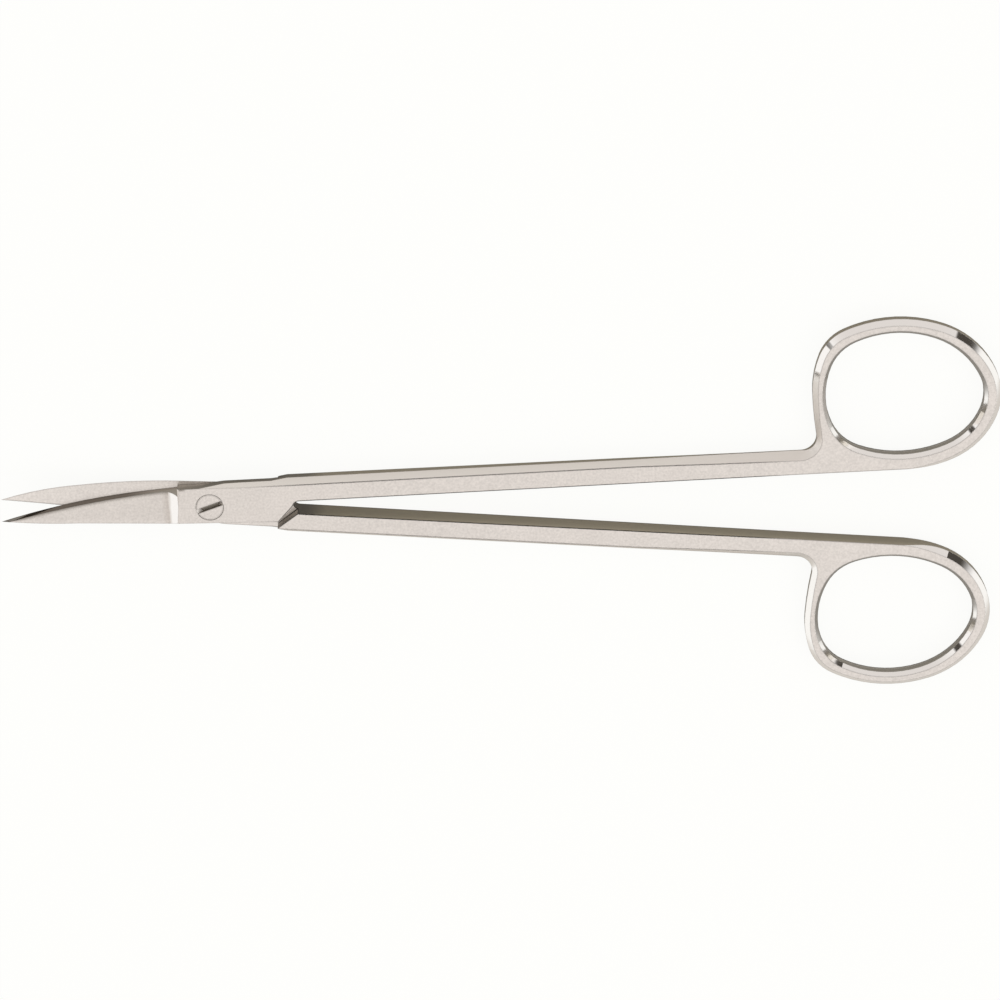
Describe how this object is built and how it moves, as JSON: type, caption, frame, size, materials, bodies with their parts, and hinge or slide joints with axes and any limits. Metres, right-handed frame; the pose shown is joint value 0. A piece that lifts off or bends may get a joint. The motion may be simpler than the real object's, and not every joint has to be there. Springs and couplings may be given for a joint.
{
  "type": "surgical scissors",
  "caption": "Slim operating scissors with sharp blades curved on the flat, a half-lap screw joint, long bevelled shanks and open finger rings.",
  "frame": {"origin": "on the pivot screw's axis, in the back face that the scissors lie on", "axes": "+X from the screw towards the finger rings along the middle line, +Y towards the front half's ring, +Z along the screw's axis towards its slotted head"},
  "size_m": [0.1582, 0.0634, 0.0059],
  "materials": {
    "front_steel": "satin ground flats, bevels and rings polished",
    "back_steel": "satin ground flats, bevels and rings polished",
    "screw_steel": "satin, ground flush with the joint plate"
  },
  "bodies": {
    "back_half": {"back_half": "back_steel", "pivot_screw": "screw_steel"},
    "front_half": {"front_half": "front_steel"}
  },
  "joints": [
    {"name": "pivot", "type": "hinge", "parent": "back_half", "child": "front_half", "pos_m": [0, 0, 0], "axis": [0, 0, 1], "range_deg": [-6.3, 70]}
  ]
}
